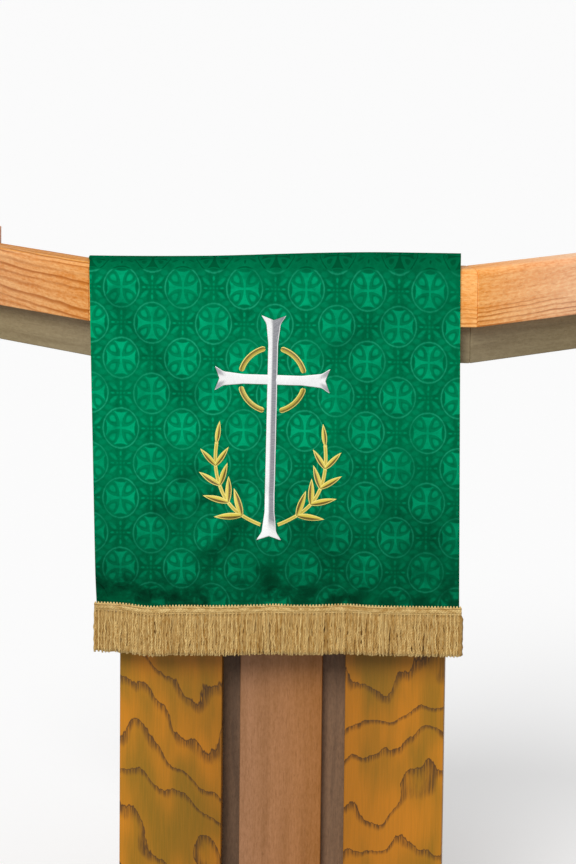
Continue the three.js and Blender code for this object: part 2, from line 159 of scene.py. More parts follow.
def addNode(tree, kind, inputs=None, output=0, **settings):
    node = tree.nodes.new("ShaderNode" + kind)
    for name, value in settings.items():
        setattr(node, name, value)
    feed(node, inputs or {})
    return Signal(node.outputs[output])


def attribute(tree, name, output="Fac"):
    return addNode(tree, "Attribute", output=output, attribute_name=name)


def maths(operation, *values):
    tree = next(value.tree for value in values if isinstance(value, Signal))
    return addNode(tree, "Math", dict(enumerate(values)), operation=operation)


def most(*values):
    top = values[0]
    for value in values[1:]:
        top = maths("MAXIMUM", top, value)
    return top


def longSide(x, z):  # of a right-angled triangle
    return maths("SQRT", x * x + z * z)


def vectorMaths(operation, first, *others, output=0):
    inputs = dict(enumerate((first, *others)))
    return addNode(first.tree, "VectorMath", inputs, output, operation=operation)


def split(place):
    first = addNode(place.tree, "SeparateXYZ", {0: place})
    return [Signal(socket) for socket in first.socket.node.outputs]


def join(*values):
    return addNode(values[0].tree, "CombineXYZ", dict(enumerate(values)))


def mixColour(share, first, second):
    return addNode(share.tree, "Mix", {0: share, 6: first, 7: second}, 2, data_type="RGBA")


def ramp(value, low, high, start=0.0, end=1.0):  # a soft step from start to end
    inputs = dict(enumerate((value, low, high, start, end)))
    return addNode(value.tree, "MapRange", inputs, interpolation_type="SMOOTHSTEP")


def below(value, edge, soft):  # 1 where the value is under the edge
    return ramp(value, edge - soft, edge + soft, 1.0, 0.0)


def noiseAt(place, stretch, detail=2.0, roughness=0.5):
    inputs = {"Vector": vectorMaths("MULTIPLY", place, stretch), "Scale": 1.0}
    inputs |= {"Detail": detail, "Roughness": roughness}
    return addNode(place.tree, "TexNoise", inputs)


def newGroup(name, inputs, outputs):
    tree = bpy.data.node_groups.new(name, "ShaderNodeTree")
    for way, sockets in {"INPUT": inputs, "OUTPUT": outputs}.items():
        for label, kind in sockets.items():
            tree.interface.new_socket(name=label, in_out=way, socket_type="NodeSocket" + kind)
    given = tree.nodes.new("NodeGroupInput").outputs
    return tree, {label: Signal(given[label]) for label in inputs}, tree.nodes.new("NodeGroupOutput")


def useGroup(tree, group, inputs):
    node = tree.nodes.new("ShaderNodeGroup")
    node.node_tree = group
    feed(node, inputs)
    return {socket.name: Signal(socket) for socket in node.outputs}


def newMaterial(name, numbers):
    material = bpy.data.materials.new(name)
    material.use_nodes = True
    shader = material.node_tree.nodes["Principled BSDF"]
    feed(shader, numbers)
    return material, material.node_tree, shader


def dress(shader, signals, depth):  # the height among the signals becomes a bump of that depth
    height = signals.pop("Height")
    signals["Normal"] = addNode(height.tree, "Bump", {"Height": height, "Distance": depth})
    feed(shader, signals)


# Piece building

def meshFrom(name, bm):
    mesh = bpy.data.meshes.new(name)
    bm.to_mesh(mesh)
    bm.free()
    return mesh


def finishPiece(name, bm, material, slotName, nodes):
    for face in bm.faces:
        face.smooth = True
    mesh = meshFrom(name, bm)
    mesh.materials.append(material)
    piece = newObject(name, mesh)
    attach(piece, "root")
    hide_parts(*nodes)
    return piece


def addWall(piece, name, thickness, offset):
    wall = piece.modifiers.new(name, "SOLIDIFY")
    wall.thickness = thickness
    wall.offset = offset


def addCopy(bm, mesh):
    verts, faces = len(bm.verts), len(bm.faces)
    bm.from_mesh(mesh)
    bm.verts.ensure_lookup_table()
    bm.faces.ensure_lookup_table()
    return bm.verts[verts:], bm.faces[faces:]


def closeEnds(bm):
    bmesh.ops.holes_fill(bm, edges=[edge for edge in bm.edges if edge.is_boundary])


def clamp(value):
    return min(max(value, 0.0), 1.0)


def smoothStep(value, low, high):
    share = clamp((value - low) / (high - low))
    return share * share * (3 - 2 * share)


# The cloth's form

cloth = {
    "width": 0.5715,
    "thickness": 0.0015,
    "clear": 0.002,  # above and before the rail
    "middle": -0.013,
    "hemSwing": 0.0094,  # the hem swings this far to the right
    "hemNarrowing": 0.005,
    "hemRise": 0.0043,  # the hem's right end is this much higher than its left
    "columns": 148,
    "ripple": 0.0009,  # small unevenness of the hanging part
    "edgeRound": 0.0005,
}
heading = {"height": 0.012, "thickness": 0.002, "gap": 0.0003}
nosing = 0.012  # the rounding of the rail's front edge
toMiddle = cloth["clear"] + cloth["thickness"] / 2  # from the rail to the middle of the cloth
boardSlope = radians(13)
stepAngle = radians(45)

# From the hem, up and over the rail, to the end of the tail on the reading board.
route = {
    "hem": {"run": heading["height"], "steps": 4},
    "drop": {"run": 0.522, "steps": 140},
    "rail edge": {"turn": radians(-90), "radius": nosing + toMiddle, "steps": 10},
    "rail top": {"run": 0.054, "steps": 14},
    "roll off": {"turn": -stepAngle, "radius": 0.014, "steps": 6},
    "step down": {"run": 0.010, "steps": 3},
    "settle": {"turn": stepAngle - boardSlope, "radius": 0.016, "steps": 6},
    "tail": {"run": 0.190, "steps": 34},
}
for leg in route.values():
    leg["length"] = leg["run"] if "run" in leg else abs(leg["turn"]) * leg["radius"]
routeLength = sum(leg["length"] for leg in route.values())
dropLength = route["hem"]["length"] + route["drop"]["length"]
hemFoot = railTop - nosing - dropLength

# Soft folds of the hanging part: x and the drop below the rail's top at the two ends, the half
# width, and the rise off the cloth, below nought in a trough.
foldRows = [
    (-0.158, 0.333, -0.107, 0.315, 0.015, -0.0035),
    (-0.088, 0.338, -0.030, 0.356, 0.016, -0.0045),
    (-0.193, 0.384, -0.162, 0.373, 0.014, -0.003),
    (-0.065, 0.413, -0.116, 0.467, 0.015, -0.0065),
    (0.023, 0.393, 0.079, 0.467, 0.026, -0.008),
    (-0.008, 0.482, -0.008, 0.527, 0.016, -0.005),
    (0.048, 0.487, 0.100, 0.511, 0.022, -0.005),
    (-0.128, 0.432, -0.068, 0.377, 0.020, 0.0035),
    (-0.020, 0.415, -0.030, 0.455, 0.026, 0.005),
    (0.132, 0.470, 0.150, 0.495, 0.032, 0.0035),
    (-0.205, 0.170, -0.190, 0.250, 0.090, 0.0025),
    (0.190, 0.200, 0.200, 0.340, 0.080, 0.0025),
]
fineRows = [  # slight ones, too flat for the CAD
    (-0.255, 0.072, -0.146, 0.212, 0.018, -0.0018),
    (0.132, 0.080, 0.022, 0.228, 0.018, -0.0016),
    (-0.225, 0.100, -0.120, 0.205, 0.014, 0.0009),
    (0.100, 0.080, 0.010, 0.180, 0.014, 0.0008),
    (-0.270, 0.470, -0.190, 0.455, 0.013, -0.0015),
    (0.175, 0.380, 0.235, 0.430, 0.016, -0.0016),
    (-0.075, 0.480, -0.060, 0.520, 0.010, 0.0020),
    (0.030, 0.480, 0.026, 0.522, 0.010, 0.0018),
]
hemTurn = {"reach": 0.085, "depth": 0.011, "cornerReach": 0.090, "cornerDepth": 0.009}
topLift = {"height": 0.016, "low": -0.280, "high": 0.190}
# On the rail's top the left edge spreads outwards, a little after the edge and until shortly before
# the roll off.
topSpread = {"out": 0.0055, "start": 0.008, "whole": 0.07, "fade": 0.03}
# The hem isn't level: the place, half width and depth of where it hangs lower or is drawn up.
hemSags = [(-0.203, 0.034, 0.0045), (-0.120, 0.075, 0.003), (0.112, 0.040, -0.002)]


def onRoute(s):  # y and z after a length s up from the hem
    y, z, angle = railFace - toMiddle, hemFoot, radians(90)
    for leg in route.values():
        done = min(s, leg["length"])
        if "run" in leg:
            y += done * cos(angle)
            z += done * sin(angle)
        else:
            bent = angle + leg["turn"] * done / leg["length"]
            side = copysign(leg["radius"], leg["turn"])
            y += side * (sin(bent) - sin(angle))
            z -= side * (cos(bent) - cos(angle))
            angle = bent
        s -= done
        if s <= 0:
            break
    return y, z


def strokesAt(rows, x, drop):  # each row's last number, whole on its stroke and fading away from it
    for x0, drop0, x1, drop1, half, amount in rows:
        runX, runDrop, offX, offDrop = x1 - x0, drop1 - drop0, x - x0, drop - drop0
        near = clamp((offX * runX + offDrop * runDrop) / (runX**2 + runDrop**2))
        away = hypot(offX - near * runX, offDrop - near * runDrop)
        yield amount * exp(-((away / half) ** 2))


def hemSag(u):
    return sum(deep * exp(-(((u - at) / half) ** 2)) for at, half, deep in hemSags)


# Broad and fine unevenness: its share, how dense it is across and down, and where its noise is cut.
rippleNoise = [(1.0, 14, 9, 3.1), (0.45, 34, 26, 7.7)]
shadeNoise = [(1.0, 22, 18, 5.2), (0.5, 55, 48, 1.4)]


def uneven(x, drop, rows):
    return sum(share * noise.noise(Vector((x * wide, drop * tall, cut))) for share, wide, tall, cut in rows)


def ripple(x, drop):  # small waves, none at the rail
    return cloth["ripple"] * smoothStep(drop, 0.02, 0.25) * uneven(x, drop, rippleNoise)


def hang(u, s):  # how far down the drop a place is, its x, and how much the hang raises it
    fallen = clamp((dropLength - s) / dropLength)
    x = cloth["middle"] + u * (1 - fallen * cloth["hemNarrowing"] / cloth["width"])
    level = fallen * cloth["hemRise"] * u / cloth["width"] - fallen**4 * hemSag(u)
    return fallen, x + fallen * cloth["hemSwing"], level


def clothPoint(u, s):  # u across the cloth from its middle, s up it from its hem
    y, z = onRoute(max(s, 0.0))
    fallen, x, level = hang(u, s)
    drop = railTop - z
    z += level
    if fallen > 0:
        hemShare = clamp(1 - s / hemTurn["reach"])
        cornerShare = clamp(1 - (u + cloth["width"] / 2) / hemTurn["cornerReach"])
        y -= sum(strokesAt(foldRows + fineRows, x, drop)) + ripple(x, drop)
        y += hemShare**2 * (hemTurn["depth"] + cornerShare * hemTurn["cornerDepth"])
    liftStart, liftEnd = dropLength - heading["height"], routeLength - route["tail"]["length"]
    if liftStart < s < liftEnd:
        across = smoothStep(u, topLift["low"], topLift["high"])
        crest = sin(pi * (s - liftStart) / (liftEnd - liftStart))
        z += topLift["height"] * across * crest**2
        onTop = smoothStep(s, dropLength + topSpread["start"], dropLength + topSpread["whole"])
        onTop *= smoothStep(s, liftEnd, liftEnd - topSpread["fade"])
        x -= topSpread["out"] * onTop * clamp(-2 * u / cloth["width"]) ** 2
    return Vector((x, y, z))


def offCloth(u, s, n):  # a point at a height n off the middle of the cloth, on its face side
    reach = 0.0005
    across = clothPoint(u + reach, s) - clothPoint(u - reach, s)
    up = clothPoint(u, s + reach) - clothPoint(u, max(s - reach, 0.0))
    return clothPoint(u, s) + across.cross(up).normalized() * n


def stationsAlong():
    stations, start = [0.0], 0.0
    for leg in route.values():
        stations += [start + leg["length"] * (i + 1) / leg["steps"] for i in range(leg["steps"])]
        start += leg["length"]
    return stations


def weavePlace(u, s):  # where a point lies in the weave's pattern, which hangs straight down
    _, x, level = hang(u, s)
    return x, hemFoot + s + level


# Where the satin turns from the light and looks darker: x and drop of the two ends of a stroke, its
# half width and its depth of tone.
shadeRows = [
    (-0.262, 0.056, -0.147, 0.205, 0.022, 0.22),
    (0.180, 0.066, 0.082, 0.126, 0.017, 0.20),
    (-0.154, 0.338, -0.120, 0.322, 0.012, 0.36),
    (-0.190, 0.388, -0.157, 0.376, 0.013, 0.32),
    (-0.128, 0.368, -0.062, 0.346, 0.010, 0.38),
    (0.010, 0.350, 0.046, 0.346, 0.010, 0.28),
    (-0.066, 0.408, -0.112, 0.476, 0.013, 0.26),
    (0.034, 0.400, 0.086, 0.470, 0.026, 0.18),
    (-0.300, 0.505, -0.120, 0.528, 0.026, 0.46),
    (-0.020, 0.510, 0.110, 0.522, 0.022, 0.36),
    (0.150, 0.525, 0.280, 0.525, 0.022, 0.12),
    (-0.060, 0.500, -0.020, 0.480, 0.020, 0.20),
    (0.165, 0.375, 0.240, 0.425, 0.018, 0.16),
    (-0.163, 0.457, -0.078, 0.394, 0.020, -0.16),
    (-0.020, 0.348, 0.065, 0.362, 0.020, -0.12),
    (0.092, 0.365, 0.160, 0.440, 0.022, -0.12),
    (-0.215, 0.410, -0.245, 0.330, 0.030, -0.06),
]
# Then painted shade darkens the cloth down its drop, towards its right side and up to the rail: by
# how much, and the places where that begins and where it is whole.
shadeFall = {"down": (0.42, 0.22, 0.49), "aside": (0.17, -0.15, 0.25), "up": (0.15, 0.020, 0.006)}
shadeUneven = 0.10


def shadeAt(x, drop):
    light = prod(1 - tone for tone in strokesAt(shadeRows, x, drop))
    for way, (tone, start, whole) in shadeFall.items():
        light *= 1 - tone * smoothStep(x if way == "aside" else drop, start, whole)
    return 1 - light * (1 - shadeUneven * uneven(x, drop, shadeNoise))


def makeCloth(material):
    stations = stationsAlong()
    rows = len(stations) - 1
    bm = bmesh.new()
    bmesh.ops.create_grid(bm, x_segments=cloth["columns"], y_segments=rows, size=1)
    bm.verts.index_update()
    flat = [(v.co.x * cloth["width"] / 2, stations[round((v.co.y + 1) / 2 * rows)]) for v in bm.verts]
    weave = bm.loops.layers.uv.new("weave")
    for face in bm.faces:
        for loop in face.loops:
            loop[weave].uv = weavePlace(*flat[loop.vert.index])
    for vert in bm.verts:
        vert.co = clothPoint(*flat[vert.index])
    bm.normal_update()
    lean = bm.verts.layers.float.new("lean")
    shade = bm.verts.layers.float.new("shade")
    for vert in bm.verts:
        vert[lean] = abs(vert.normal.z)
        # The shade attribute is painted shade, which the jacquard mixes into its colour.
        vert[shade] = shadeAt(vert.co.x, railTop - vert.co.z)
    piece = finishPiece("fall_sheet", bm, material, "green_jacquard", ["fall_cloth"])
    addWall(piece, "Thickness", cloth["thickness"], 0)
    edge = piece.modifiers.new("Turned edge", "BEVEL")
    edge.width = cloth["edgeRound"]
    edge.segments = 2
    edge.angle_limit = radians(60)
    return piece


# Jacquard

# Rings with a cross inside stand in staggered rows, with a small ornament between them.
pattern = {
    "ringX": 0.03616,  # middle of one ring
    "ringZ": 1.11488,
    "pitchX": 0.09501,
    "pitchZ": 0.1102,
    "ringWide": 0.0276,  # half width and half height of a ring
    "ringTall": 0.0316,
    "line": 0.034,  # half the ring's line, in ring radii
    "waver": 0.0013,  # how far the weave shifts the figure's edges
    "ringLight": 0.20,  # the ground is a little lighter in a ring, and darker between the rings
    "fieldDark": 0.36,
    "armWaist": 0.06,  # half an arm's width at the cross's middle, in ring radii
    "armGrowth": 0.56,
    "armCurve": 2.9,
    "armEnd": 0.765,
    "leafAt": 0.625,  # the middle of the leaf between two arms
    "leafLong": 0.20,
    "leafWide": 0.145,
    "leafSwell": 0.045,
    "leafLight": 0.9,
    "leafRimDark": 0.5,
    "crescentDark": 0.8,  # past an arm's end
    "innerLineDark": 0.45,
}
# Specks of the ornament: place from its middle, half width, half height and strength.
lightSpecks = [
    (0.0, 0.0, 0.0017, 0.0017, 0.45),
    (0.0052, 0.0, 0.0018, 0.0015, 0.5),
    (0.0128, 0.0, 0.0031, 0.0016, 1.0),
    (0.0, 0.0064, 0.0016, 0.0024, 0.55),
    (0.0, 0.0150, 0.0019, 0.0040, 1.0),
    (0.0118, 0.0150, 0.0040, 0.0050, 0.30),
    (0.0190, 0.0225, 0.0062, 0.0046, 0.40),
    (0.0070, 0.0260, 0.0022, 0.0040, 0.20),
]
darkSpecks = [
    (0.0110, 0.0038, 0.0066, 0.0013, 0.6),
    (0.0042, 0.0120, 0.0014, 0.0054, 0.3),
    (0.0104, 0.0114, 0.0020, 0.0013, 0.3),
    (0.0030, 0.0030, 0.0014, 0.0014, 0.45),
    (0.0180, 0.0100, 0.0016, 0.0042, 0.3),
    (0.0058, 0.0205, 0.0026, 0.0050, 0.4),
    (0.0240, 0.0170, 0.0036, 0.0034, 0.4),
]
# Petals slant away from its middle: here x runs along the slant and z across it.
lightPetals = [(0.0162, 0.0008, 0.0082, 0.0030, 0.85)]
darkPetals = [
    (0.0160, 0.0058, 0.0072, 0.0014, 0.40),
    (0.0160, -0.0044, 0.0072, 0.0014, 0.40),
]


def drawFigure(place):  # the woven figure's light parts, its dark parts and the rings' line
    halfX, halfZ = pattern["pitchX"] / 2, pattern["pitchZ"] / 2
    placeX, placeZ, _ = split(place)
    x = maths("PINGPONG", placeX - pattern["ringX"], halfX)
    z = maths("PINGPONG", placeZ - pattern["ringZ"], halfZ)
    shareX, shareZ = x / halfX, z / halfZ
    slope = sqrt(0.5)

    def turned(value, half, share):  # the value, or half less the value where share is 1
        return share * (value * -2.0 + half) + value

    farRing = maths("GREATER_THAN", shareX + shareZ, 1.0)
    ringX = turned(x, halfX, farRing) / pattern["ringWide"]
    ringZ = turned(z, halfZ, farRing) / pattern["ringTall"]
    radius = longSide(ringX, ringZ)
    out = most(ringX, ringZ)  # out along the nearest arm, and aside from it
    aside = maths("MINIMUM", ringX, ringZ)

    line = below(abs(radius - 1.0), pattern["line"], 0.026)
    armHalf = maths("POWER", out, pattern["armCurve"]) * pattern["armGrowth"] + pattern["armWaist"]
    pastEnd = out - (aside * aside * 0.5 + pattern["armEnd"])
    arm = below(aside - armHalf, 0.0, 0.025) * below(pastEnd, 0.0, 0.02)
    inRing = below(radius, 0.93, 0.02)
    crescent = (1.0 - below(pastEnd, 0.03, 0.02)) * (inRing * below(aside, 0.27, 0.05))
    leafLong = ((out + aside) * slope - pattern["leafAt"]) / pattern["leafLong"]
    leafWide = (out - aside) * slope / (leafLong * pattern["leafSwell"] + pattern["leafWide"])
    leaf = longSide(leafLong, leafWide)
    leafRim = below(abs(leaf - 1.4), 0.2, 0.16)
    innerLine = below(abs(radius - 0.925), 0.02, 0.02)

    nearer = maths("GREATER_THAN", shareX, shareZ)
    speckX = turned(x, halfX, nearer)
    speckZ = turned(z, halfZ, 1.0 - nearer)
    spot = join(speckX, speckZ)
    slanted = join((speckX + speckZ) * slope, (speckX - speckZ) * slope)

    def specks(rows, total, spot=spot):
        for atX, atZ, wide, tall, tone in rows:
            away = vectorMaths("SUBTRACT", spot, (atX, atZ, 0))
            away = vectorMaths("DIVIDE", away, (wide, tall, 1))
            total = most(total, below(vectorMaths("LENGTH", away, output="Value"), 0.9, 0.4) * tone)
        return total

    figure = most(arm, below(leaf, 0.95, 0.3) * pattern["leafLight"], inRing * pattern["ringLight"])
    figure = specks(lightPetals, specks(lightSpecks, figure), slanted)
    shadow = most(
        crescent * pattern["crescentDark"],
        leafRim * pattern["leafRimDark"],
        innerLine * pattern["innerLineDark"],
    )
    shadow = specks(darkPetals, specks(darkSpecks, shadow * inRing * (1.0 - arm)), slanted)
    field = (1.0 - below(radius, 1.06, 0.08)) * pattern["fieldDark"]
    return figure, (1.0 - shadow) * field + shadow, line


jacquard = {
    "ground": linear(0, 125, 80),
    "figure": linear(2, 170, 116),
    "line": linear(30, 162, 118),
    "dark": linear(0, 82, 48),
    # the colour of the painted shade
    "shaded": linear(4, 14, 10),
    "groundRough": 0.7,
    "figureRough": 0.45,
    "shadow": 0.62,  # strength of the dark parts round the figure
    "mottle": 0.34,
    "threads": 0.0006,  # between two ribs of the weave
    "weaveDepth": 0.00006,
}


def makeJacquardMaterial():
    material, tree, shader = newMaterial("Green jacquard", {"Specular IOR Level": 0.0})
    place = addNode(tree, "UVMap", uv_map="weave")
    waver = addNode(tree, "TexNoise", {"Vector": place, "Scale": 240.0, "Detail": 1.0}, "Color")
    waver = vectorMaths("SUBTRACT", waver, (0.5, 0.5, 0.5))
    place = vectorMaths("MULTIPLY_ADD", waver, (pattern["waver"],) * 3, place)
    figure, shadow, line = drawFigure(place)
    patches = ramp(noiseAt(place, (17, 17, 1)), 0.34, 0.58, 0.55)
    mottle = ramp(noiseAt(place, (160, 160, 1), 3.0, 0.6), 0.3, 0.7, -0.5, 0.5)
    stain = ramp(noiseAt(place, (48, 48, 1), 2.0, 0.6), 0.5, 0.72, 0.0, jacquard["mottle"])
    lean, shade = attribute(tree, "lean"), attribute(tree, "shade")
    # Deep shade gathers in patches, as the weave catches light from the sides.
    blotches = ramp(noiseAt(place, (36, 44, 1), 3.0, 0.55), 0.36, 0.64, -1.0)
    shade = maths("MINIMUM", shade + blotches * ramp(shade, 0.35, 0.75, 0.03, 0.13), 1.0)
    # Painted sheen: where the cloth leans back or in, or lies in deep painted shade, its satin figure is
    # painted darker than its ground.
    gloss = ramp(lean, 0.16, 0.42, 1.0, -0.8) - ramp(shade, 0.50, 0.78, 0.0, 1.5)
    lit = patches * most(gloss, 0.0)
    dull = most(figure, line) * most(gloss * -1.0, 0.0)
    # The woven colours come first, and the last layer is the painted shade, towards the shaded colour.
    colour = jacquard["ground"]
    for share, name in (
        (figure * lit, "figure"),
        (line * (lit * 0.9), "line"),
        (most(shadow * (patches * jacquard["shadow"]), dull), "dark"),
        (most(mottle * jacquard["mottle"], stain), "dark"),
        (shade, "shaded"),
    ):
        colour = mixColour(share, colour, jacquard[name])
    rough = ramp(figure, 0.0, 1.0, jacquard["groundRough"], jacquard["figureRough"])
    across, up, _ = split(place)
    turn = 2 * pi / jacquard["threads"]
    ribs = maths("SINE", up * turn) * (1.0 - figure)
    floats = maths("SINE", across * turn) * figure
    height = (ribs + floats) * 0.5 + figure * 1.2 + mottle * 3.0
    dress(shader, {"Base Color": colour, "Roughness": rough, "Height": height}, jacquard["weaveDepth"])
    return material


# Fringe

fringe = {
    "cords": 384,
    "overhang": 0.004,  # beyond the cloth at each end
    "length": 0.066,
    "unevenEnds": 0.0013,
    "root": 0.004,  # how far up behind the braid a cord begins
    "rootRadius": 0.00095,
    "spread": 0.0008,  # how far a cord strays from its even place
    "rows": 4,
    "rowDepth": 0.0011,
    "depthSpread": 0.0005,
    "outer": 6,  # cords at each end that hang close together
    "waves": [(0.6, 1.3, 1.0), (1.6, 2.8, 0.5)],  # down a cord: fewest, most, and their share
    "clump": 0.0022,  # how far a tuft of cords swings together
    "tuft": 95,  # tufts to a metre
    "lean": 0.7,
    "crimp": 0.0007,
    "crimps": (3.5, 5.0),  # down a cord
    "sizes": (0.85, 1.15),  # a cord's radius against the usual one
    "sides": 4,
    "steps": 11,
    "braidColumns": 190,
    "loops": 118,
    "loopRadius": 0.0010,
    "loopFoot": heading["height"] - 0.0002,
    "loopOut": 0.0011,
    "loopRise": 2.0,
    "loopThread": 0.00072,
    # The cords of the front rows, and of the rear rows, which hang straighter and close the gaps.
    # The foot is the radius where a cord leaves the braid's lower edge.
    "front": {"radius": 0.0016, "foot": 0.0013, "out": 0.0002, "short": 0, "sway": 0.0016, "taper": 0.2},
    "rear": {"radius": 0.0033, "foot": 0.00095, "out": 0, "short": 0.0012, "sway": 0.00064, "taper": 0},
}
cordPlace = {"start": 10, "step": 2}  # a cord's number as its UV map holds it
headingBack = cloth["thickness"] / 2 + heading["gap"]
fringeWidth = cloth["width"] + 2 * fringe["overhang"]
# The braid's section: height up from the hem and rise off its back.
braidSection = [
    *((0.0002, 0.0000), (0.0000, 0.0014), (0.0006, 0.0021), (0.0016, 0.0021), (0.0022, 0.0013)),
    *((0.0028, 0.0017), (0.0050, 0.0019), (0.0070, 0.0019), (0.0090, 0.0016), (0.0096, 0.0013)),
    *((0.0102, 0.0019), (0.0114, 0.0019), (0.0120, 0.0012), (0.0119, 0.0000)),
]


def wave(turns):  # how far a wave has swung after so many turns
    return sin(2 * pi * turns)


def addBraid(bm, thread):
    points = len(braidSection)
    columns = fringe["braidColumns"]
    grid = bmesh.ops.create_grid(bm, x_segments=columns, y_segments=points, size=1)["verts"]
    place = {}
    for vert in grid:
        row = round((vert.co.y + 1) / 2 * points) % points
        place[vert] = (vert.co.x * fringeWidth / 2, *braidSection[row])
    for face in {face for vert in grid for face in vert.link_faces}:
        middle = face.calc_center_median()
        for loop in face.loops:
            u, s, _ = place[loop.vert]
            loop[thread].uv = (u, s if middle.y < 1 - 2 / points else heading["height"])
    for vert in grid:
        u, s, n = place[vert]
        vert.co = offCloth(u, s, headingBack + n)
    bmesh.ops.remove_doubles(bm, verts=grid, dist=1e-6)
    closeEnds(bm)


def loopShape():  # a half ring of thread that stands on the braid's top edge
    bm = bmesh.new()
    bmesh.ops.create_circle(bm, segments=4, radius=fringe["loopThread"], cap_ends=False)
    for vert in bm.verts:
        vert.co = Vector((fringe["loopRadius"] + vert.co.x, 0, vert.co.y))
    circle = bm.verts[:] + bm.edges[:]
    bmesh.ops.spin(
        bm, geom=circle, cent=(0, 0, 0), axis=(0, 0, 1), angle=pi, steps=6, use_duplicate=False
    )
    closeEnds(bm)
    bmesh.ops.recalc_face_normals(bm, faces=bm.faces)
    return meshFrom("Loop", bm)


def cordShape():  # a straight cord from 0 down to -1
    bm = bmesh.new()
    bmesh.ops.create_cone(bm, cap_ends=True, segments=fringe["sides"], radius1=1, radius2=1, depth=1)
    upright = [edge for edge in bm.edges if abs(edge.verts[0].co.z - edge.verts[1].co.z) > 0.5]
    bmesh.ops.subdivide_edges(bm, edges=upright, cuts=fringe["steps"] - 1, use_grid_fill=True)
    bmesh.ops.translate(bm, verts=bm.verts, vec=(0, 0, -0.5))
    return meshFrom("Cord", bm)


def addCord(bm, thread, template, index, draw):
    u = (index + 0.5) * fringeWidth / fringe["cords"] - fringeWidth / 2
    u += draw.uniform(-1, 1) * fringe["spread"]
    row = index % fringe["rows"]
    kind = fringe["rear" if row >= fringe["rows"] / 2 else "front"]
    foot = offCloth(u, 0.0, headingBack + heading["thickness"] / 2 + kind["out"])
    root = offCloth(u, fringe["root"], headingBack + heading["thickness"] / 2)
    length = fringe["length"] + fringe["unevenEnds"] * draw.uniform(-1, 1) - kind["short"]
    depth = (row - (fringe["rows"] - 1) / 2) * fringe["rowDepth"]
    depth += draw.uniform(-1, 1) * fringe["depthSpread"]
    size = kind["radius"] * draw.uniform(*fringe["sizes"])
    outer = index < fringe["outer"] or index >= fringe["cords"] - fringe["outer"]
    lean = draw.gauss(0, fringe["lean"])
    waves = [(draw.uniform(low, high), draw.uniform(0, 1), share) for low, high, share in fringe["waves"]]
    crimps, crimpStart = draw.uniform(*fringe["crimps"]), draw.uniform(0, 1)
    hidden = 1 / fringe["steps"]  # the first step is behind the braid
    verts, faces = addCopy(bm, template)
    turns = {}
    for vert in verts:
        down = -vert.co.z
        turns[vert] = (atan2(vert.co.y, vert.co.x) / (2 * pi) % 1.0, down)
        middle = root.lerp(foot, min(down / hidden, 1.0))
        free = clamp((down - hidden) / (1 - hidden))
        swing = sum(share * (wave(turn * free + start) - wave(start)) for turn, start, share in waves)
        tuft = noise.noise(Vector((u * fringe["tuft"], free * 1.3, 9.1 + row * 0.25)))
        drift = kind["sway"] * (swing * 0.7 + lean * free) + fringe["clump"] * tuft * free
        middle.x += (0.3 if outer else 1.0) * drift * min(free * 3, 1.0)
        middle.x += fringe["crimp"] * wave(crimps * free + crimpStart) * min(free * 4, 1.0)
        middle.y += depth * min(free * 6, 1.0)
        middle.z -= free * length
        thick = size if free > 0.01 else fringe["rootRadius"]
        if abs(down - hidden) < 0.01:
            thick = kind["foot"]
        thick *= 1 - kind["taper"] * clamp((down - 0.93) / 0.07)
        vert.co = middle + Vector((vert.co.x * thick, vert.co.y * thick, 0))
    for face in faces:
        around = [turns[loop.vert][0] for loop in face.loops]
        wraps = max(around) - min(around) > 0.5
        for loop in face.loops:
            share, down = turns[loop.vert]
            share += index * cordPlace["step"] + cordPlace["start"] + (wraps and share < 0.5)
            loop[thread].uv = (share, down * length)


def makeFringe(material):
    draw = random.Random(11)
    bm = bmesh.new()
    thread = bm.loops.layers.uv.new("thread")
    loopMesh, cordMesh = loopShape(), cordShape()
    for index in range(fringe["loops"]):
        u = ((index + 0.5) / fringe["loops"] - 0.5) * fringeWidth
        for vert in addCopy(bm, loopMesh)[0]:
            up = fringe["loopFoot"] + vert.co.y * fringe["loopRise"]
            vert.co = offCloth(u + vert.co.x, up, headingBack + fringe["loopOut"] + vert.co.z)
            for loop in vert.link_loops:
                loop[thread].uv = (u, heading["height"])
    for index in range(fringe["cords"]):
        addCord(bm, thread, cordMesh, index, draw)
    bpy.data.meshes.remove(loopMesh)
    bpy.data.meshes.remove(cordMesh)
    addBraid(bm, thread)
    return finishPiece("fringe_cords", bm, material, "gold_fringe", ["fall_fringe"])


gold = {
    "light": linear(245, 213, 144),
    "dark": linear(176, 128, 54),
    # the deep colour is painted shade, in grooves, furrows and behind the front cords
    "deep": linear(132, 90, 34),
    "twist": 0.0042,  # length of one turn of a cord's twist
    "ribs": (0.0025, 0.0099),  # furrows along the braid, up from the hem
    "ribHalf": 0.0006,
    "stitch": 0.0046,  # across one stitch of the braid
    "stitchLean": 1.2,
    "stitchRow": 0.0037,  # up the braid, until the stitches lean the other way
    "loopsFrom": (0.0117, 0.0120),  # up from the hem, where the colour changes to the loops'
    "endsFrom": (0.0605, 0.0645),  # down a cord, where it changes to the ends'
}


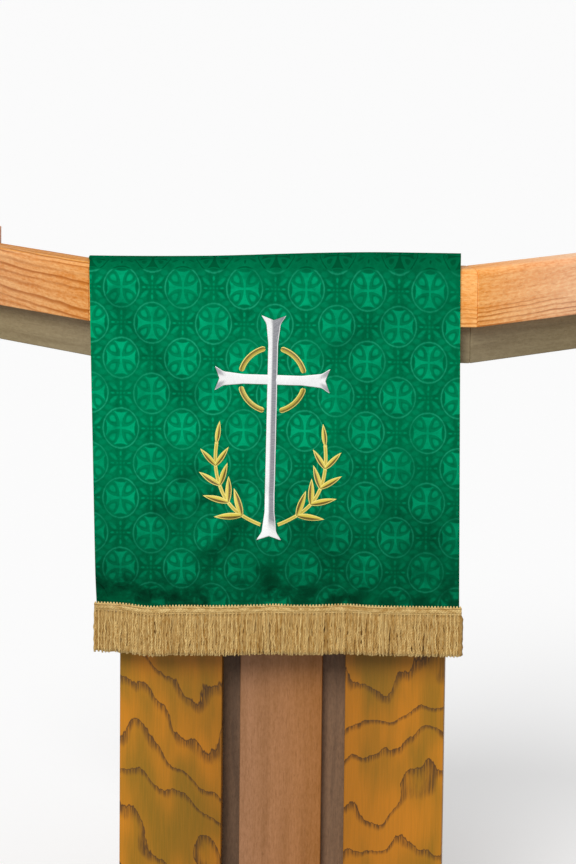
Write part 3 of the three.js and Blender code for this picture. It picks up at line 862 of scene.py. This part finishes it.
def makeFringeMaterial():
    material, tree, shader = newMaterial("Gold fringe", {"Roughness": 0.6, "Specular IOR Level": 0.2})
    place = addNode(tree, "UVMap", uv_map="thread")
    across, along, _ = split(place)
    onCord = maths("GREATER_THAN", across, cordPlace["start"] / 2)
    onBraid = 1.0 - onCord
    cordNumber = maths("FLOOR", (across - cordPlace["start"]) / cordPlace["step"])
    tone = addNode(tree, "TexWhiteNoise", {"W": cordNumber}, "Value", noise_dimensions="1D")
    rear = maths("GREATER_THAN", maths("MODULO", cordNumber, fringe["rows"]), fringe["rows"] / 2 - 0.5)
    # A front cord shows its twist, and a rear one the fine strands that it stands for.
    wind = (rear * -0.86 + 1.0) * (along / gold["twist"])
    ply = noiseAt(place, (2.1, 60, 1), 1.0) * rear * 1.6 + (across * (rear * 5.0 + 2.0) + wind)
    twist = maths("SINE", ply * (2 * pi))
    slant = maths("PINGPONG", along, gold["stitchRow"]) * gold["stitchLean"]
    weave = maths("SINE", (across + slant) * (2 * pi / gold["stitch"]))
    relief = onCord * (twist - weave) + weave
    patch = ramp(noiseAt(place, (1.3, 105, 1)), 0.3, 0.7)
    fuzz = ramp(noiseAt(place, (420, 900, 1)), 0.3, 0.7, -0.3, 0.3)
    mottle = ramp(noiseAt(place, (75, 190, 1), 3.0, 0.6), 0.35, 0.65, -0.32, 0.32)
    shade = (tone - 0.4) * onCord * 0.55 + patch * 0.45 + (fuzz * onBraid + 0.22)
    shade = mottle * onBraid + shade
    # The loops on the braid's top edge and the cords' ends catch the light.
    picot = onBraid * ramp(along, *gold["loopsFrom"])
    ends = onCord * ramp(along, *gold["endsFrom"])
    shade = shade - (picot * 0.5 + ends * 0.3)
    colour = mixColour(shade, gold["light"], gold["dark"])
    # Painted shade: the low parts of the twist and the stitches, the braid's furrows and the rear cords
    # behind the front ones are darkened towards the deep colour.
    grooveShade = ramp(relief, -1.0, -0.2, 0.4, 0.0) * (1.0 - picot)
    furrowShade = most(*(below(abs(along - rib), gold["ribHalf"], 0.0004) for rib in gold["ribs"]))
    furrowShade = furrowShade * (onBraid * 0.6)
    for share in (grooveShade, furrowShade, rear * onCord * 0.28):
        colour = mixColour(share, colour, gold["deep"])
    dress(shader, {"Base Color": colour, "Height": relief}, 0.0003)
    return material


# Emblem

emblem = {
    "x": -0.018,
    "foot": 0.722,
    "height": 0.352,
    "tilt": radians(0.75),
    "lift": 0.0003,  # between the cloth's face and the stitching's foot
    "crown": 0.0009,
    "rim": 0.0014,
    "rimRise": 0.0003,
    "backing": 0.0003,
    "over": 0.0003,  # a band that lies over another one is lifted by this
    "thread": 0.0006,  # between two threads
}
cross = {
    "span": 0.178,
    "crossing": 0.252,
    "stem": 0.015,
    "flare": 0.038,
    "flareLength": 0.044,
    "flareFrom": 0.6,  # the share of that length where an arm swells before it opens
    "swell": 0.003,
    "notch": 0.007,
}
ring = {"radius": 0.050, "width": 0.0085, "arc": radians(62)}
spray = {
    "foot": (0.013, 0.024),
    "bend": (0.096, 0.052),
    "tip": (0.084, 0.152),
    "stem": 0.0055,
    "stemLength": 0.17,
    "stemTone": 0.25,
    "leafRoot": 0.004,
    "leaves": 5,
    "leafSpread": radians(38),
    "leafLength": 0.050,
    "leafWidth": 0.011,
    "leafShrink": 0.25,  # how much smaller the last leaf is
}
finishKinds = {"Base Color": "Color", "Height": "Float", "Roughness": "Float"}
threadColours = dict.fromkeys(("Light", "Dark", "Rim"), "Color")


def onCloth(x, z, n):  # a point over a place of the emblem, which is drawn flat
    turn = emblem["tilt"]
    worldX = x * cos(turn) + z * sin(turn) + emblem["x"]
    worldZ = z * cos(turn) - x * sin(turn) + emblem["foot"]
    s = worldZ - hemFoot
    for _ in range(3):
        fallen = clamp((dropLength - s) / dropLength)
        u = worldX - cloth["middle"] - fallen * cloth["hemSwing"]
        u /= 1 - fallen * cloth["hemNarrowing"] / cloth["width"]
        s = worldZ - hemFoot - fallen * cloth["hemRise"] * u / cloth["width"]
    return offCloth(u, s, cloth["thickness"] / 2 + emblem["lift"] + n)


# A band of satin stitch along a spine. The spine gives a middle, a direction and a half width for
# each share of its length, and tone gives the thread's shade from the place across and along.
def addBand(bm, layers, spine, length, steps, tone, across=14, notch=0, lift=0.0):
    grid = bmesh.ops.create_grid(bm, x_segments=across, y_segments=steps, size=1)["verts"]
    stitches = {}
    for vert in grid:
        side, share = vert.co.x, (vert.co.y + 1) / 2
        middle, direction, half = spine(share)
        point = middle + Vector((direction.y, -direction.x)) * side * half
        point -= direction * (1 - abs(side)) * notch * (clamp(share * 6 - 5) - clamp(1 - share * 6))
        edgeGap = (1 - abs(side)) * half
        crown = emblem["crown"] * sqrt(max(1 - side * side, 0.0)) * min(half / 0.004, 1.0)
        rim = emblem["rimRise"] * smoothStep(edgeGap, emblem["rim"], 0.0)
        stitches[vert] = (side * half, share * length, edgeGap, tone(side, share))
        vert.co = onCloth(point.x, point.y, crown + rim + lift)
    for vert in grid:
        *place, vert[layers["edge"]], vert[layers["shade"]] = stitches[vert]
        for loop in vert.link_loops:
            loop[layers["stitch"]].uv = place
    bmesh.ops.remove_doubles(bm, verts=grid, dist=1e-6)


def newStitching():
    bm = bmesh.new()
    layers = {
        "stitch": bm.loops.layers.uv.new("stitch"),
        "edge": bm.verts.layers.float.new("edgeGap"),
        "shade": bm.verts.layers.float.new("shade"),
    }
    return bm, layers


def finishStitching(name, bm, material, slotName, node):
    piece = finishPiece(name, bm, material, slotName, [node])
    addWall(piece, "Backing", emblem["backing"], -1)
    return piece


def armSpine(start, end):  # a straight arm with both ends flared
    length = (end - start).length
    direction = (end - start) / length

    def spine(share):
        fromEnd = min(share, 1 - share) * length
        half = cross["stem"] / 2
        if fromEnd < cross["flareLength"]:
            out = 1 - fromEnd / cross["flareLength"]
            opened = smoothStep(out, cross["flareFrom"], 1.05) ** 1.2
            opened *= cross["flare"] / 2 - half - cross["swell"]
            half += cross["swell"] * min(out / cross["flareFrom"], 1) + opened
        return start + (end - start) * share, direction, half

    return spine, length


def makeCross(material):
    bm, layers = newStitching()
    middle = Vector((0, cross["crossing"]))
    reach = Vector((cross["span"] / 2, 0))
    bar, barLength = armSpine(middle - reach, middle + reach)
    stem, stemLength = armSpine(Vector((0, 0)), Vector((0, emblem["height"])))

    def barTone(side, share):
        return 0.75 * smoothStep(abs(share - 0.5), 0.40, 0.47) * smoothStep(abs(side), 0.15, 0.5)

    # The stem's right half takes the dark thread, as split satin does, and also stands in for the shade on
    # the side away from the key light: partly painted shade.
    def stemTone(side, share):
        return 0.95 * smoothStep(side, -0.35, 0.05) * smoothStep(share, 0.02, 0.10)

    addBand(bm, layers, bar, barLength, 90, barTone, notch=cross["notch"])
    addBand(bm, layers, stem, stemLength, 170, stemTone, notch=cross["notch"], lift=emblem["over"])
    return finishStitching("cross_stitching", bm, material, "silver_thread", "emblem_cross")


def makeRing(quarter, material):
    bm, layers = newStitching()
    middle = radians(90) * (quarter - 0.5)
    length = ring["arc"] * ring["radius"]

    def spine(share):
        angle = middle - ring["arc"] / 2 + ring["arc"] * share
        out = Vector((cos(angle), sin(angle)))
        point = Vector((0, cross["crossing"])) + out * ring["radius"]
        end = min(share, 1 - share) * length
        half = ring["width"] / 2 * sqrt(clamp(end / 0.003) * 0.75 + 0.25)
        return point, Vector((-out.y, out.x)), half

    def tone(side, share):
        return 0.35 + 0.55 * smoothStep(side, -0.3, 0.3)

    addBand(bm, layers, spine, length, 36, tone, across=12)
    node = f"emblem_ring_{quarter}"
    return finishStitching(f"ring_stitching_{quarter}", bm, material, "gold_thread", node)


def makeSpray(side, sign, material):
    bm, layers = newStitching()
    foot, bend, tip = (Vector((sign * x, z)) for x, z in (spray["foot"], spray["bend"], spray["tip"]))

    def stemAt(share):
        point = foot * (1 - share) ** 2 + bend * 2 * share * (1 - share) + tip * share**2
        return point, ((bend - foot) * (1 - share) + (tip - bend) * share).normalized()

    def stemSpine(share):
        return *stemAt(share), spray["stem"] / 2

    def stemTone(side, share):
        return spray["stemTone"]

    addBand(bm, layers, stemSpine, spray["stemLength"], 60, stemTone, across=8)
    for index in range(1, spray["leaves"] + 1):
        share = index / spray["leaves"]
        point, direction = stemAt(share)
        size = 1 - spray["leafShrink"] * share
        last = index == spray["leaves"]
        for turn in [0.0] if last else [-spray["leafSpread"], spray["leafSpread"]]:
            along = (Matrix.Rotation(turn, 2) @ direction).normalized()
            root = point - along * spray["leafRoot"]
            length, width = spray["leafLength"] * size, spray["leafWidth"] * size

            def leafSpine(share, root=root, along=along, length=length, width=width):
                out = 0.8 * share * (1 - share) + share**2
                return root + along * length * out, along, max(width * 2 * share * (1 - share), 0.00002)

            def leafTone(side, share, turn=turn):
                return smoothStep(side * (1 if turn <= 0 else -1), -0.12, 0.12)

            addBand(bm, layers, leafSpine, length, 26, leafTone, across=12, lift=emblem["over"])
    return finishStitching(f"spray_stitching_{side}", bm, material, "gold_thread", f"emblem_spray_{side}")


def makeStitchGroup():
    tree, given, made = newGroup("Satin stitch", threadColours, finishKinds)
    place = addNode(tree, "UVMap", uv_map="stitch")
    across, along, _ = split(place)
    inside = ramp(attribute(tree, "edgeGap"), emblem["rim"] * 0.75, emblem["rim"] * 1.1)
    thread = maths("SINE", (across * 0.25 + along) * (2 * pi / emblem["thread"]))
    strands = noiseAt(place, (90, 1500, 1), 2.0, 0.6)
    shade = attribute(tree, "shade") + ramp(strands, 0.35, 0.65, -0.14, 0.14)
    fill = mixColour(maths("MINIMUM", most(shade, 0.0), 1.0), given["Light"], given["Dark"])
    colour = mixColour(inside, given["Rim"], fill)
    rough = ramp(strands, 0.3, 0.7, 0.3, 0.5)
    feed(made, {"Base Color": colour, "Height": thread * 0.5 + strands, "Roughness": rough})
    return tree


threads = {  # the colour of its light side, its dark side and its rim
    "Silver thread": (linear(253, 253, 252), linear(132, 133, 139), linear(255, 255, 255)),
    "Gold thread": (linear(228, 206, 78), linear(104, 80, 6), linear(248, 230, 124)),
}


def makeThreadMaterial(name, group):
    material, tree, shader = newMaterial(name, {"Specular IOR Level": 0.5, "Sheen Weight": 0.05})
    dress(shader, useGroup(tree, group, dict(zip(threadColours, threads[name]))), 0.00008)
    return material


# Wood

def finishGrain(tree, given, made, tone, streaks, relief, rough):
    colour = mixColour(tone, given["Light"], given["Dark"])
    for share in streaks:
        colour = mixColour(share, colour, given["Streak"])
    # Each board has its own tone, from its attributes.
    inputs = {"Value": attribute(tree, "pale") + 1.0, "Saturation": attribute(tree, "warm") + 1.0}
    colour = addNode(tree, "HueSaturation", inputs | {"Color": colour})
    feed(made, {"Base Color": colour, "Height": relief, "Roughness": ramp(tone, 0.0, 1.0, *rough)})
    return tree


# The grain attribute of a board holds its places along, beside and over its grain.
def makeStraightGrainGroup():
    tree, given, made = newGroup("Straight grain", {**grainColours, "Streaks": "Float"}, finishKinds)
    place = attribute(tree, "grain", "Vector")
    bend = (noiseAt(place, (2.4, 7, 7)) - 0.5) * 0.022
    bend = (noiseAt(place, (17, 26, 26), 1.0) - 0.5) * 0.0045 + bend
    along, beside, over = split(place)
    bent = join(along, beside + bend, over + bend)
    broad = ramp(noiseAt(bent, (2.5, 42, 42), 3.0, 0.6), 0.32, 0.68)
    fine = ramp(noiseAt(bent, (14, 420, 420), 2.0, 0.6), 0.3, 0.7)
    pores = ramp(noiseAt(bent, (70, 1400, 1400), 1.0), 0.62, 0.74)
    drift = noiseAt(place, (0.9, 16, 16), 1.0) * 2.6
    turn = maths("FRACT", (beside + over + bend * 1.5) * attribute(tree, "rings") + drift)
    ringLine = ramp(turn, 0.40, 0.82) * ramp(turn, 0.88, 1.0, 1.0, 0.0)
    wearAndTopLight = ramp(noiseAt(bent, (5, 60, 60)), 0.35, 0.6, 0.25)
    clear = 1.0 - attribute(tree, "calm") * ramp(attribute(tree, "rise"), 0.28, 0.48)
    streak = ringLine * (wearAndTopLight * clear)
    flecks = ramp(noiseAt(bent, (110, 260, 260), 3.0, 0.7), 0.36, 0.64)
    tone = flecks * 0.35 + (broad * 0.42 + fine * 0.23)
    streaks = (streak * given["Streaks"], pores * 0.35)
    relief = fine * 0.4 - (pores + streak * 0.5)
    return finishGrain(tree, given, made, tone, streaks, relief, (0.38, 0.55))


grainColours = dict.fromkeys(("Light", "Dark", "Streak"), "Color")
flame = {"rise": 0.26, "step": 0.05, "jag": 0.013, "spacing": 0.082, "line": 0.010, "shade": 0.24}


def makeFlameGrainGroup():
    tree, given, made = newGroup("Flame grain", grainColours, finishKinds)
    place = attribute(tree, "grain", "Vector")
    along = split(place)[0]
    lift = noiseAt(place, (7, 9, 9), 1.0) * flame["rise"]
    step = noiseAt(place, (14, 34, 34), 1.0) * flame["step"]
    jag = noiseAt(place, (40, 190, 190), 2.0, 0.7) * flame["jag"]
    turn = maths("FRACT", (along + (lift + (step + jag))) / flame["spacing"])
    line = most(below(turn, flame["line"], 0.01), ramp(turn, 0.978, 0.992))
    fibres = noiseAt(place, (22, 520, 520), 2.0, 0.6)
    soft = ramp(turn, 1 - flame["shade"], 0.97) * ramp(fibres, 0.35, 0.6, 0.3, 0.85)
    broad = ramp(noiseAt(place, (5, 16, 16)), 0.34, 0.66)
    tone = broad * 0.82 + ramp(fibres, 0.3, 0.7) * 0.18
    return finishGrain(tree, given, made, tone, (soft, line * 0.8), fibres - line * 0.6, (0.32, 0.5))


finishes = {  # light and dark wood, streaks, their strength in straight grain, and the coat
    "rail_wood": ((253, 196, 132), (218, 134, 62), (178, 98, 34), 0.85, 0.0),
    "apron_wood": ((160, 144, 112), (134, 118, 88), (108, 90, 62), 0.25, 0.05),
    "board_wood": ((236, 174, 116), (214, 144, 88), (184, 112, 58), 0.6, 0.1),
    "panel_wood": ((176, 124, 84), (150, 102, 60), (120, 78, 44), 0.12, 0.04),
    # The recess board's dark wood also stands in for the shade in its recess: partly painted shade.
    "dark_wood": ((108, 84, 64), (84, 65, 50), (60, 46, 36), 0.3, 0.05),
    "post_wood": ((196, 122, 22), (136, 99, 10), (78, 50, 22), None, 0.08),  # flame grain
}


def makeWoodMaterials():
    straight, flamed = makeStraightGrainGroup(), makeFlameGrainGroup()
    made = {}
    for slotName, (*colours, strength, coat) in finishes.items():
        numbers = {"Coat Weight": coat, "Coat Roughness": 0.3, "Specular IOR Level": 0.3}
        material, tree, shader = newMaterial(slotName.replace("_", " ").capitalize(), numbers)
        inputs = {label: linear(*colour) for label, colour in zip(grainColours, colours)}
        if strength is None:
            grain = useGroup(tree, flamed, inputs)
        else:
            grain = useGroup(tree, straight, {**inputs, "Streaks": strength})
        dress(shader, grain, 0.00015)
        made[slotName] = material
    return made


grainWays = {
    "x": Vector((1, 0, 0)),
    "y": Vector((0, 1, 0)),
    "z": Vector((0, 0, 1)),
    "left": Vector((1, -1, 0)).normalized(),  # along the left wing
    "right": Vector((1, 1, 0)).normalized(),
}
uprights = ("post_left", "post_right", "side_panel_left", "side_panel_right", "back_panel")
roundDesk = {"side_left": "y", "wing_left": "left", "front": "x", "wing_right": "right", "side_right": "y"}
boards = {  # the boards of each wood, and the way their grain runs
    "rail_wood": {f"rail_{end}": way for end, way in roundDesk.items()},
    "apron_wood": {f"apron_{end}": way for end, way in roundDesk.items()}
    | {"apron_rear": "x", "desk_floor": "x"},
    "board_wood": {"reading_board": "x"},
    "post_wood": {**dict.fromkeys(uprights, "z"), "base_board": "x"},
    "panel_wood": {"centre_panel": "z"},
    "dark_wood": {"recess_board": "z"},
}
boardEdge = {"offset": 0.0018, "segments": 3}
sharpFrom = radians(30)
# What sets one board off from the others: how much paler it is, its growth rings to a metre, and
# how far they fade in its upper part.
boardNotes = {
    # The right wing, turned from the key light, is painted paler: painted light.
    "rail_wing_right": (0.32, 150, 0.85),
    "rail_side_right": (0.12, 110, 0.4),
    "rail_front": (0.18, 150, 0.85),
    "rail_wing_left": (0.03, 84, 0.0),
    "centre_panel": (0.0, 20, 0.6),
}
plainBoard = (0.0, 45, 0.2)
paintedTopLight = {"pale": 0.06, "calm": 0.8}  # painted light: the rails' tops are painted paler, with calmer streaks, but for the left wing's
# the left wing's top is painted paler and warmer, a painted light, and keeps its streaks
paintedLeftTopLight = {"pale": 0.10, "warm": 0.14, "calm": 0.0}
recessEdge = {"pale": 0.7, "warm": 1.1}  # seen between a post and its side panel
# What is added to a board's tone at its left and its right end, with an even change between them.
toneSlopes = {
    "post_left": {"pale": (0.20, -0.14)},
    "post_right": {"pale": (-0.20, 0.14)},
    "rail_front": {"warm": (0.06, 0.06)},
    "rail_wing_right": {"pale": (-0.10, 0.16), "warm": (0.09, -0.23)},
}
# The same with a soft step, between the two x that follow.
toneSteps = {
    # The recess board's right strip is painted paler, for the light from the left that falls into the
    # recess: painted light.
    "recess_board": {"pale": (0.0, 1.35, 0.02, 0.08), "warm": (0.0, 0.08, 0.02, 0.08)},
    "centre_panel": {"warm": (-0.05, 0.11, -0.08, 0.08)},
    "rail_wing_left": {"warm": (-0.05, 0.05, -0.5, -0.3)},
    "apron_wing_left": {"warm": (0.14, 0.0, -0.5, -0.35)},
    "apron_wing_right": {"warm": (0.0, 0.14, 0.35, 0.5)},
}
# Where in the grain's pattern a post is cut, and how steeply the grain slants across it.
postCuts = {
    "post_left": (Vector((25.055, 18.34, 21.632)), 0.45),
    "post_right": (Vector((25.616, 16.75, 21.15)), -0.15),
}
grainLean = {"rail_wing_left": 0.055, "rail_wing_right": -0.06}  # off the board's own line


def boardTone(node, vert, notes, across):  # across is 0 at the board's left end and 1 at its right
    tone = {**notes, "warm": 0.0}
    for name, (left, right) in toneSlopes.get(node, {}).items():
        tone[name] += left + (right - left) * across
    for name, (left, right, low, high) in toneSteps.get(node, {}).items():
        tone[name] += left + (right - left) * smoothStep(vert.co.x, low, high)
    if node == "recess_board" and abs(vert.normal.x) > 0.9:
        tone |= recessEdge
    # Painted light on the rails' top faces.
    if node.startswith("rail") and vert.normal.z > 0.9:
        wearAndTopLight = {"pale": tone["pale"] + paintedTopLight["pale"], "calm": paintedTopLight["calm"]}
        tone |= paintedLeftTopLight if node == "rail_wing_left" else wearAndTopLight
    return tone


def makeBoard(node, direction, material, slotName, number):
    bm = bmesh.new()
    bm.from_mesh(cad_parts[node].data)
    bmesh.ops.remove_doubles(bm, verts=bm.verts, dist=1e-5)
    bmesh.ops.dissolve_limit(bm, angle_limit=radians(1), verts=bm.verts, edges=bm.edges)
    sharp = [edge for edge in bm.edges if edge.is_manifold and edge.calc_face_angle() > sharpFrom]
    bmesh.ops.bevel(
        bm, geom=sharp, affect="EDGES", profile=0.5, material=-1, clamp_overlap=True, **boardEdge
    )
    grain = bm.verts.layers.float_vector.new("grain")
    layers = {name: bm.verts.layers.float.new(name) for name in ("pale", "warm", "rings", "calm", "rise")}
    notes = dict(zip(("pale", "rings", "calm"), boardNotes.get(node, plainBoard)))
    low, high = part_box(node)
    bm.normal_update()
    line = grainWays[direction]
    beside = grainWays["y"] if direction in "xz" else Vector((-line.y, line.x, 0))
    over = line.cross(beside)
    cut, slant = postCuts.get(node, (Vector((1.7, 0.9, 1.3)) * number, 0.0))
    for vert in bm.verts:
        place = Vector((vert.co.dot(line), vert.co.dot(beside), vert.co.dot(over)))
        place.z += grainLean.get(node, 0.0) * place.x
        place.x += slant * (vert.co.x - (low.x + high.x) / 2)
        vert[grain] = place + cut
        tone = boardTone(node, vert, notes, (vert.co.x - low.x) / (high.x - low.x))
        tone["rise"] = (vert.co.z - low.z) / (high.z - low.z)
        for name, value in tone.items():
            vert[layers[name]] = value
    piece = finishPiece(f"{node}_board", bm, material, slotName, [node])
    piece.data.set_sharp_from_angle(angle=sharpFrom)


placeCamera()
lightStudio()
print("camera and lights placed")

floorFinish = {
    "Roughness": 0.9,
    "Base Color": (studio["floorTone"],) * 3 + (1,),
    "Emission Color": (1, 1, 1, 1),
    "Emission Strength": studio["floorGlow"],
}
disc = bmesh.new()
bmesh.ops.create_circle(disc, cap_ends=True, segments=64, radius=studio["floor"])
floor = newObject("Floor", meshFrom("Floor", disc))
floor.data.materials.append(newMaterial("Pale floor", floorFinish)[0])
floor.visible_diffuse = False  # it throws no light back, so the folds keep their shade
floor.visible_glossy = False

sheet = makeCloth(makeJacquardMaterial())
print("cloth hung:", len(sheet.data.vertices), "points")

skirt = makeFringe(makeFringeMaterial())
print("fringe made:", len(skirt.data.polygons), "faces")

stitchGroup = makeStitchGroup()
silver = makeThreadMaterial("Silver thread", stitchGroup)
golden = makeThreadMaterial("Gold thread", stitchGroup)
stitching = [makeCross(silver), *(makeRing(quarter, golden) for quarter in range(1, 5))]
stitching += [makeSpray("left", -1, golden), makeSpray("right", 1, golden)]
print("emblem stitched:", len(stitching), "pieces")

woods = makeWoodMaterials()
number = 0
for slotName, group in boards.items():
    for node, direction in group.items():
        makeBoard(node, direction, woods[slotName], slotName, number)
        number += 1
print("boards finished:", number)
